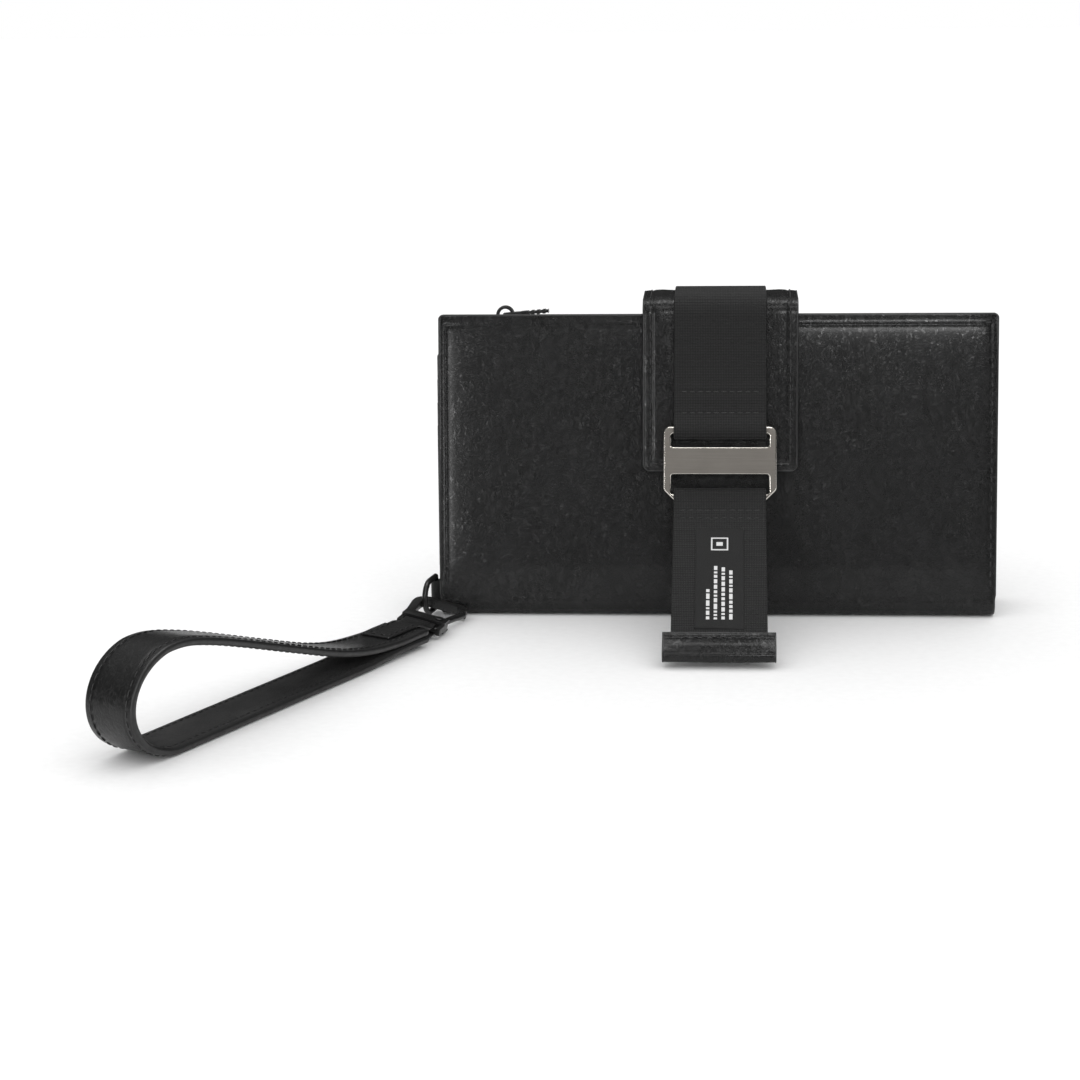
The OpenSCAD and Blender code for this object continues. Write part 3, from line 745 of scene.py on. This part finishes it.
def tab_outside():
    """The tab's leather, one piece from its front end over the top to its back end, and its seams."""
    line, hw, inner = tab_line(WEB_OFF, TAB_LOW, TAB_BACK_LOW), TAB_W / 2, TAB_W / 2 - TAB_SEAM
    wave = bumpy(11, 20, 0.14)

    def puff(u, v):
        """The tab is a little thicker between its seams and the webbing."""
        return wave(u, v) + 0.22 * math.exp(-((abs(u) - 23) / 3.0) ** 2)
    us = spread(-hw, hw, 2.2, near(-hw, hw, (0.3, 0.8, 1.4, 2.2, 2.6, 3.0, 3.4, 3.9, 5)))
    vs = spread(0, line.length, 1.1, near(0, line.length, (0.2, 0.5, 0.9, 1.4, 2.0, 2.6, 3.0, 3.4)))
    relief = sewn_edge(-hw, hw, 0, line.length, [TAB_SEAM] * 4, puff, roll=0.3, groove=0.22)
    over_tab(slab("tab_leather", us, vs, tab_place(line, hw), TAB_LEATHER, GLAZED, rim=0.62, height=relief),
             "tab_back", "tab_front", slot="leather")
    runs = [along(line, u, 3.5, line.length - 3.5, 2) for u in (-inner, inner)]
    runs += [across(line, s, -inner, inner, 3) for s in (TAB_SEAM, line.length - TAB_SEAM)]
    over_tab(stitches("tab_seams", runs, pitch=3.3, length=2.5, width=0.62))


def tab_inside():
    """The cloth on the tab's inside."""
    line, hw = tab_line(LINING, TAB_LOW + 1, TAB_BACK_LOW + 1), TAB_W / 2 - 1
    over_tab(slab("tab_lining_cloth", spread(-hw, hw, 4, near(-hw, hw, (0.5, 1.2))),
                  spread(0, line.length, 1.5, near(0, line.length, (0.3, 0.9, 1.6))),
                  tab_place(line, hw), LINING - 0.05, TWILL), "tab_lining", slot="lining")


tab_outside()
tab_inside()

# ---------------- webbing
RIB = 1.1                                  # from one cross rib of the webbing to the next


def webbing(name, line, rows):
    """Ribbed webbing along a line, pulled down where the rows of stitches cross it."""
    hw = WEB_W / 2

    def height(u, v):
        dent = max(math.exp(-((v - r) / 0.7) ** 2) for r in rows)
        return 0.24 * abs(math.sin(math.pi * v / RIB)) * (1 - 0.6 * dent) - 0.16 * dent
    return slab(name, spread(-hw, hw, 1.2, near(-hw, hw, (0.2, 0.6))), spread(0, line.length, RIB / 4),
                line.place, WEB_T, [MAT["webbing"]] * 3, rim=0.32, height=height)


def webbing_seams(name, line, rows, hw):
    """Rows of stitches across the webbing."""
    runs = [across(line, s, -hw, hw, 3) for s in rows]
    return stitches(name, runs, pitch=3.0, length=2.3, width=0.55)


def nearest(line, y, z):
    """Length along a line at its closest point."""
    return min(zip(line.s, line.p), key=lambda sp: (sp[1] - Vector((y, z))).length)[0]


# the webbing starts behind the buckle's top bar, goes round it, lies on its own start and then on the tab
foot = [(-TAB_CLEAR - WEB_OFF - 0.05, z) for z in (87.5, 84, 80, 76, 73.5)]
foot += circle(BUCKLE_Y, BAR_Z, BUCKLE_R, range(0, -181, -20))
foot += [(-10.6, 74.0), (-9.3, 76.2), (-8.1, 78.6), (-7.45, 81.5), (-7.1, 85), (-6.7, 88), (-6.1, 91.5),
         (-5.75, 95)]
web_pts = tab_line(WEB_OFF + WEB_T, 98.5, TAB_BACK_LOW + 4, [yz(front(0, *p)) for p in foot]).p
web_line = Line(smooth_line(web_pts, 0.8), -1, TAB_X)
web_rows = [nearest(web_line, *yz(front(0, -8.1, 78.4))), nearest(web_line, *yz(front(0, -7.0, 86.2))),
            web_line.length - 3.0, web_line.length - 11.0]
over_tab(webbing("webbing_band", web_line, web_rows), "webbing_back", "webbing_front", slot="webbing")
over_tab(webbing_seams("webbing_seams", web_line, web_rows, 15))

# ---------------- buckle and tail
def outline(corners, radii, n=5):
    """A closed outline whose corners are turned into arcs of n steps."""
    pts = []
    for i, (c, r) in enumerate(zip(corners, radii)):
        c, before, after = Vector(c), Vector(corners[i - 1]), Vector(corners[(i + 1) % len(corners)])
        a, b = (before - c).normalized(), (after - c).normalized()
        half_angle = a.angle(b) / 2
        p0, p1 = c + a * (r / math.tan(half_angle)), c + b * (r / math.tan(half_angle))
        mid = c + (a + b).normalized() * (r / math.sin(half_angle))
        pts += [mid + (p0 - mid).lerp(p1 - mid, k / n).normalized() * r for k in range(n + 1)]
    return pts


def shifted(pts, amount):
    """The outline moved sideways by amount, towards the metal."""
    out = []
    for i, p in enumerate(pts):
        d = (pts[(i + 1) % len(pts)] - pts[i - 1]).normalized()
        out.append(p + Vector((-d.y, d.x)) * amount)
    return out


def slotted_plate(name, loops, t, bevel, mats, place):
    """A flat plate with holes whose edges are rounded. Each loop runs with the metal on its left."""
    rings = [(bevel, 0.0), (0.3 * bevel, 0.3 * bevel), (0.0, bevel), (0.0, t - bevel),
             (0.3 * bevel, t - 0.3 * bevel), (bevel, t)]
    bm = bmesh.new()
    layer = bm.verts.layers.float_vector.new("flat")
    fills = ([], [])
    for loop in loops:
        made = []
        for amount, depth in rings:
            row = []
            for p in shifted(loop, amount):
                v = bm.verts.new(place(p.x, p.y, depth) * MM)
                v[layer] = (p.x, p.y, 0.0)
                row.append(v)
            made.append(row)
        for a, b in zip(made[:-1], made[1:]):
            for k in range(len(loop)):
                k2 = (k + 1) % len(loop)
                f = bm.faces.new((a[k], a[k2], b[k2], b[k]))
                # the rounded edges take the second material, whose bright colour is a painted highlight
                f.material_index, f.smooth = 1, True
        for side, row in ((0, made[0]), (1, made[-1])):
            fills[side].extend(bm.edges.get((row[k], row[(k + 1) % len(row)])) for k in range(len(row)))
    for edges in fills:
        for f in bmesh.ops.triangle_fill(bm, use_beauty=True, edges=edges)["geom"]:
            if isinstance(f, bmesh.types.BMFace):
                f.material_index, f.smooth = 0, False
    bmesh.ops.recalc_face_normals(bm, faces=bm.faces)
    me = bpy.data.meshes.new(name)
    bm.to_mesh(me)
    bm.free()
    for m in mats:
        me.materials.append(m)
    return new_object(name, me)


def buckle_plate():
    """The buckle: cut lower corners, and two slots with the wide plate between them."""
    w, low, cut = BUCKLE_W / 2, -BUCKLE_H, 4.2
    rim = outline([(-w, 0), (-w, low + cut), (-w + cut, low), (w - cut, low), (w, low + cut), (w, 0)],
                  (2.7, 2.0, 1.5, 1.5, 2.0, 2.7))

    def slot_loop(top, tall):
        x = SLOT_W / 2
        return outline([(-x, top), (x, top), (x, top - tall), (-x, top - tall)], [0.9] * 4)

    def place(x, z, d):
        return front(TAB_X + x, BUCKLE_Y - BUCKLE_T / 2 + d, BAR_Z + BUCKLE_BAR / 2 + z)
    slots = [slot_loop(-BUCKLE_BAR, TOP_SLOT), slot_loop(-BUCKLE_BAR - TOP_SLOT - PLATE, LOW_SLOT)]
    # the face is brushed nickel and the rounded edges carry the painted highlight
    return slotted_plate("buckle_metal", [rim, *slots], BUCKLE_T, 0.5,
                         [MAT["nickel"], MAT["nickel_edge_highlight"]], place)


put(buckle_plate(), "buckle", "buckle", slot="nickel")
tail_y, tail_z = yz(front(0, BUCKLE_Y, TAIL_BAR_Z))


def tail_yz(y, z):
    """A point of the tail's own frame, which hangs from the buckle's lower bar."""
    return (tail_y + y * math.cos(TAIL_SLOPE) + z * math.sin(TAIL_SLOPE),
            tail_z - y * math.sin(TAIL_SLOPE) + z * math.cos(TAIL_SLOPE))


def tail_curve(pts, step, side):
    """A smooth line through points of the tail's frame."""
    return Line([tail_yz(*p) for p in smooth_line(pts, step)], side, TAB_X)


# the tail's webbing goes up in front, round the bar and down behind; its two layers lie on each other
side_pts = [(WEB_T, z) for z in (-TAIL_L, -70, -60, -50, -40, -30, -20, -14)]
side_pts += [(1.38, -10.5), (1.7, -7.5), (2.4, -4.2)]
tail_pts = [(-y, z) for y, z in side_pts]
tail_pts += circle(0, 0, BUCKLE_R, (195, 170, 145, 120, 95, 70, 45, 20, -15))
tail_line = tail_curve(tail_pts + side_pts[::-1], 0.8, -1)
tail_rows = [nearest(tail_line, *tail_yz(-WEB_T - 0.3, z)) for z in (-8.6, -12.2)]
put(webbing("tail_webbing", tail_line, tail_rows), "tail", "webbing_tail", slot="webbing")
put(webbing_seams("tail_seams", tail_line, tail_rows, 15.5), "tail")


def tail_place(face):
    """Flat pieces on the front of the tail; face is how far their outside is from its middle."""
    def place(u, v, d):
        y, z = tail_yz(-face + d, v)
        return Vector((TAB_X + u, y, z))
    return place


label_low, label_high = -TAIL_L + 12, -TAIL_L + 62
put(slab("label_cloth", spread(-9, 9, 0.6), spread(label_low, label_high, 1.0), tail_place(WEB_T + 0.42), 0.4,
         [MAT["label"]] * 3, rim=0.12, height=bumpy(31, 9, 0.05)), "tail", "tail_label", slot="label")


def print_marks():
    """Plain marks: an outlined square and lines of short dashes, which say nothing."""
    verts, faces = [], []
    place = tail_place(WEB_T + 0.49)

    def block(u0, u1, v0, v1):
        b = len(verts)
        verts.extend(place(u, v, d) for u, v in ((u0, v0), (u1, v0), (u1, v1), (u0, v1)) for d in (0.0, 0.16))
        faces.extend([(b, b + 2, b + 4, b + 6), (b + 1, b + 7, b + 5, b + 3)])
        for k in range(4):
            a, c = b + 2 * k, b + (2 * k + 2) % 8
            faces.append((a, a + 1, c + 1, c))
    out, line = 3.2, 0.55
    top, low = label_high - 5.0, label_high - 5.0 - 2 * out
    block(-out, out, top - line, top)
    block(-out, out, low, low + line)
    block(-out, line - out, low + line, top - line)
    block(out - line, out, low + line, top - line)
    block(-1.2, 1.2, top - 4.1, top - 2.3)
    lengths = random.Random(4)
    start, hw, gap = label_low + 4.5, 0.62, 0.75
    for u, reach in ((-4.2, 14.5), (-1.4, 26.0), (1.4, 25.0), (4.2, 22.0)):
        v = start
        while v < start + reach:
            n = lengths.choice((0.9, 1.4, 2.0, 2.6))
            block(u - hw, u + hw, v, v + n)
            v += n + gap
    return finish_mesh("label_print", verts, faces, [MAT["print"]], smooth=False)


def tail_fold():
    """The leather folded round the tail's end, and its seam."""
    out, hw, seam = WEB_T + 1.3, 20.5, 2.2
    side = [(out, -TAIL_L + z) for z in (2, 6, 10)]
    pts = [(-y, z) for y, z in reversed(side)]
    pts += circle(0, -TAIL_L + 0.6, out, (180, 205, 230, 255, 285, 310, 335, 360))
    line = tail_curve(pts + side, 0.7, 1)
    wave = bumpy(41, 9, 0.16)

    def height(u, v):
        """The leather puffs up below its seam."""
        k = min(v, line.length - v)
        puffed = 0.5 * math.exp(-((k - 6.0) / 2.4) ** 2) * (1 - (abs(u) / hw) ** 4)
        return puffed - 0.25 * math.exp(-((k - seam) / 0.6) ** 2) + wave(u, v) - 0.25
    skin = slab("tail_end_leather", spread(-hw, hw, 1.0, near(-hw, hw, (0.3, 0.7))),
                spread(0, line.length, 0.5), line.place, 1.2, GLAZED, rim=0.5, height=height)
    put(skin, "tail", "tail_end", slot="leather")
    runs = [across(line, s, -17, 17, 3, d=0.42) for s in (seam, line.length - seam)]
    put(stitches("tail_end_seam", runs, pitch=3.3, length=2.4), "tail")


put(print_marks(), "tail")
tail_fold()

# ---------------- ring and clip
soften("ring_metal", "d_ring", "ring", 0.12, segments=2, angle=50)
soften("ring_loop_leather", "ring_loop", "pouch", 0.35, "leather_block", "leather")
soften("clip_metal", "clip_body", "clip", 0.5)
soften("clip_gate_metal", "clip_gate", "gate", 0.25)
soften("clip_screw_metal", "clip_screw", "clip", 0.18, "steel_dark")


def turned(x, y, z, angle):
    """A point turned round the upright line through the middle of the clip's eye."""
    return Vector((EYE[0] + x * math.cos(angle) - y * math.sin(angle),
                   EYE[1] + x * math.sin(angle) + y * math.cos(angle), z))


def strap_world(x, y, z):
    """A point of the wrist strap's frame: x across it, y towards the ring, z up from the table."""
    return turned(x, y, z, STRAP_TURN)


def clip_world(x, y, z):
    """A point of the clip's frame, which is rolled about its length; z is up from the eye's middle."""
    return turned(x * math.cos(CLIP_ROLL) + z * math.sin(CLIP_ROLL), y,
                  EYE[2] - x * math.sin(CLIP_ROLL) + z * math.cos(CLIP_ROLL), CLIP_TURN)


# ---------------- wrist strap
JOIN_L, JOIN_Z, HALF_T = 29.0, 1.25, STRAP_T / 2
LOW_Z, HIGH_Z = JOIN_Z + HALF_T, JOIN_Z + STRAP_T + HALF_T + 0.02
LOOP_Y, LOOP_R, LOOP_STRETCH = -149, 19, 1.3
# the strap's middle line from the clip, out along the table, round the loop and back over itself
centre = [(-8, LOW_Z), (-16, LOW_Z), (4 - JOIN_L, LOW_Z), (-8 - JOIN_L, HALF_T + JOIN_Z * 0.4),
          (-18 - JOIN_L, HALF_T + 0.02), (-70, HALF_T), (-95, HALF_T), (-120, HALF_T)]
centre += [(LOOP_STRETCH * y + LOOP_Y, z) for y, z in arc(0, LOOP_R, LOOP_R - HALF_T, 270, 100, 14)]
centre += [(-147, 36.4), (-141.5, 35.8), (-136, 34.6), (-129.5, 32.9), (-123, 31), (-113.5, 28),
           (-104, 24.9), (-85, 18.6), (-32 - JOIN_L, JOIN_Z + STRAP_T + 6.9), (-14 - JOIN_L, HIGH_Z + 1.58),
           (4 - JOIN_L, HIGH_Z), (-16, HIGH_Z), (-8, HIGH_Z)]
mid_line = Line(smooth_line(centre, 1.0), -1)
outer_line = Line([mid_line.at(s, -HALF_T) for s in mid_line.s], -1)


def strap_place(u, s, d):
    """The point u across the strap, s along it and d below its outside."""
    y, z = outer_line.at(s, d)
    return strap_world(u, y, z)


def wrist_strap():
    """The strap's doubled leather and the two seams along it, which show on both faces."""
    hw, length, seam = STRAP_W / 2, outer_line.length, 2.5
    relief = sewn_edge(-hw, hw, 0, length, (seam, seam, None, None), bumpy(51, 26, 0.10), roll=0.25,
                       groove=0.18)
    skin = slab("wrist_strap_leather",
                spread(-hw, hw, 1.2, near(-hw, hw, (0.3, 0.8, 1.7, 2.1, 2.5, 2.9, 3.3))),
                spread(0, length, 1.3), strap_place, STRAP_T, STRAP, rim=0.85, height=relief)
    put(skin, "wristlet", "wrist_strap", slot="leather")
    runs = []
    for u in (-hw + seam, hw - seam):
        for d, side in ((0.1, 1), (STRAP_T - 0.02, -1)):
            runs.append([(strap_place(u, s, d),
                          side * (Matrix.Rotation(STRAP_TURN, 3, "Z") @ outer_line.normal(s)))
                         for s in spread(3, length - 3, 2)])
    put(stitches("wrist_strap_seams", runs, pitch=3.4, length=2.6), "wristlet")


wrist_strap()

# the keeper goes round the clip's eye and holds both ends of the strap
KEEPER_T, KEEPER_L = 1.2, 28.0
k_low, k_high = JOIN_Z - KEEPER_T, JOIN_Z + 2 * STRAP_T + 0.04 + KEEPER_T
eye_out = 1.3 + 0.1 + KEEPER_T
keeper_pts = [(-KEEPER_L, k_high), (-20, k_high), (-12, k_high), (-8, k_high - 0.05), (-5, EYE[2] + 2.6)]
keeper_pts += circle(0, EYE[2], eye_out, range(100, -101, -25))
keeper_pts += [(-5, EYE[2] - 2.5), (-8, k_low + 0.1), (-12, k_low), (-20, k_low), (-KEEPER_L, k_low)]
keeper_line = Line(smooth_line(keeper_pts, 0.8), -1)


def keeper_place(u, s, d):
    """The keeper's flat part follows the strap and its loop follows the clip's eye."""
    y, z = keeper_line.at(s, d)
    w = min(max((y + 8) / 3.0, 0.0), 1.0)
    w = w * w * (3 - 2 * w)
    return strap_world(u, y, z).lerp(clip_world(u, y, z - EYE[2]), w)


def keeper_run(us, ys):
    """A run of stitches on top of the keeper."""
    return [(strap_world(u, y, k_high - 0.06), Vector((0, 0, 1))) for u in us for y in ys]


keeper_hw, side_seam, end_seam = 6.0, 1.6, 1.8
keeper_relief = sewn_edge(-keeper_hw, keeper_hw, 0, keeper_line.length,
                          (side_seam, side_seam, end_seam, end_seam), bumpy(0, 1, 0.0), roll=0.15, groove=0.1)
keeper = slab("wrist_keeper_leather",
              spread(-keeper_hw, keeper_hw, 0.8, near(-keeper_hw, keeper_hw, (0.3,))),
              spread(0, keeper_line.length, 0.8), keeper_place, KEEPER_T, STRAP, rim=0.4,
              height=keeper_relief)
put(keeper, "wristlet", "wrist_keeper", slot="leather")
across_u = keeper_hw - side_seam
keeper_runs = [keeper_run([u], spread(-KEEPER_L + end_seam, -9, 2)) for u in (-across_u, across_u)]
keeper_runs.append(keeper_run(spread(-across_u, across_u, 2), [-KEEPER_L + end_seam]))
put(stitches("wrist_keeper_seams", keeper_runs, pitch=3.0, length=2.2, width=0.55), "wristlet")

# ---------------- CAD parts that are shown as they are
for names, mat in ((("snap_socket", "snap_stud"), "steel"), (("zip_stops",), "black"),
                   (("pocket_floor", "pocket_side_left", "pocket_side_right"), "lining_block")):
    for cad in names:
        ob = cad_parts[cad]
        if not ob.material_slots:
            ob.data.materials.append(MAT[mat])
        for s in ob.material_slots:
            s.link = "OBJECT"
            s.material = MAT[mat]

# ---------------- floor, light and camera
def paper(name):
    """White, nearly matt paper."""
    m, t, b = new_material(name, Roughness=0.85, Specular_IOR_Level=0.1)
    n = texture(t, "Noise", coords(t), Scale=2.0, Detail=2.0)
    t.links.new(ramp(t, n.outputs[0], [(0.3, 0.90), (0.7, 0.93)]), b.inputs["Base Color"])
    return m


bpy.ops.mesh.primitive_plane_add(size=1, location=(0, 1.9, -0.0003))
floor = bpy.context.object
floor.name = "floor"
floor.scale = (7, 5, 1)
floor.data.materials.append(paper("floor_paper"))


def studio_world():
    """Even white light all round and a white backdrop, but a dim room in the reflections."""
    world = bpy.data.worlds.new("studio")
    bpy.context.scene.world = world
    world.use_nodes = True
    t = world.node_tree
    t.nodes.clear()
    white = (1, 1, 1, 1)
    even = node(t, "ShaderNodeBackground", Color=white, Strength=1.22)
    backdrop = node(t, "ShaderNodeBackground", Color=white, Strength=1.0)
    room = node(t, "ShaderNodeBackground", Strength=1.0)
    axes = node(t, "ShaderNodeSeparateXYZ")
    t.links.new(node(t, "ShaderNodeTexCoord").outputs["Generated"], axes.inputs[0])
    height = math_node(t, "MULTIPLY_ADD", axes.outputs["Z"], 0.5, 0.5)
    t.links.new(ramp(t, height, [(0.0, 0.01), (0.56, 0.02), (0.75, 0.2), (1.0, 0.6)]), room.inputs["Color"])
    rays = node(t, "ShaderNodeLightPath")
    shown = even.outputs[0]
    for ray, other in (("Is Glossy Ray", room), ("Is Camera Ray", backdrop)):
        mix = node(t, "ShaderNodeMixShader")
        t.links.new(rays.outputs[ray], mix.inputs[0])
        t.links.new(shown, mix.inputs[1])
        t.links.new(other.outputs[0], mix.inputs[2])
        shown = mix.outputs[0]
    t.links.new(shown, node(t, "ShaderNodeOutputWorld").inputs[0])


def soft_box(name, at, aim, size, power):
    """An area light that only reflections show."""
    light = bpy.data.lights.new(name, "AREA")
    light.shape = "RECTANGLE"
    light.size, light.size_y = size
    light.energy = power
    ob = new_object(name, light)
    ob.location = at
    ob.rotation_euler = (Vector(aim) - Vector(at)).to_track_quat("-Z", "Y").to_euler()
    ob.visible_diffuse = False


studio_world()
soft_box("top_light", (0.0, 0.1, 1.0), (0, 0, 0.05), (0.9, 0.4), 4.5)
soft_box("front_right_light", (0.17, -0.85, 0.42), (0.07, 0, 0.11), (0.26, 0.10), 2.2)
soft_box("left_light", (-0.40, -0.85, 0.16), (-0.09, 0, 0.06), (0.10, 0.40), 1.9)
soft_box("high_light", (0.1, -0.6, 0.95), (0, 0, 0.1), (0.5, 0.2), 1.6)

AZ, EL, ROLL, DIST = math.radians(4.3), math.radians(14.0), math.radians(-0.88), 1.0
aim = Vector((-0.0684, 0, 0.0262))
towards = Vector((math.sin(AZ) * math.cos(EL), -math.cos(AZ) * math.cos(EL), math.sin(EL)))
right = (-towards).cross(Vector((0, 0, 1))).normalized()
upward = right.cross(-towards).normalized()
cam_x = right * math.cos(ROLL) + upward * math.sin(ROLL)
cam_y = -right * math.sin(ROLL) + upward * math.cos(ROLL)
cam_data = bpy.data.cameras.new("camera")
cam_data.lens, cam_data.sensor_width = 85.6, 36.0
cam = new_object("camera", cam_data)
turn = Matrix((cam_x, cam_y, towards)).transposed().to_4x4()
cam.matrix_world = Matrix.Translation(aim + towards * DIST) @ turn
bpy.context.scene.camera = cam
bpy.context.scene.view_settings.view_transform = "Standard"
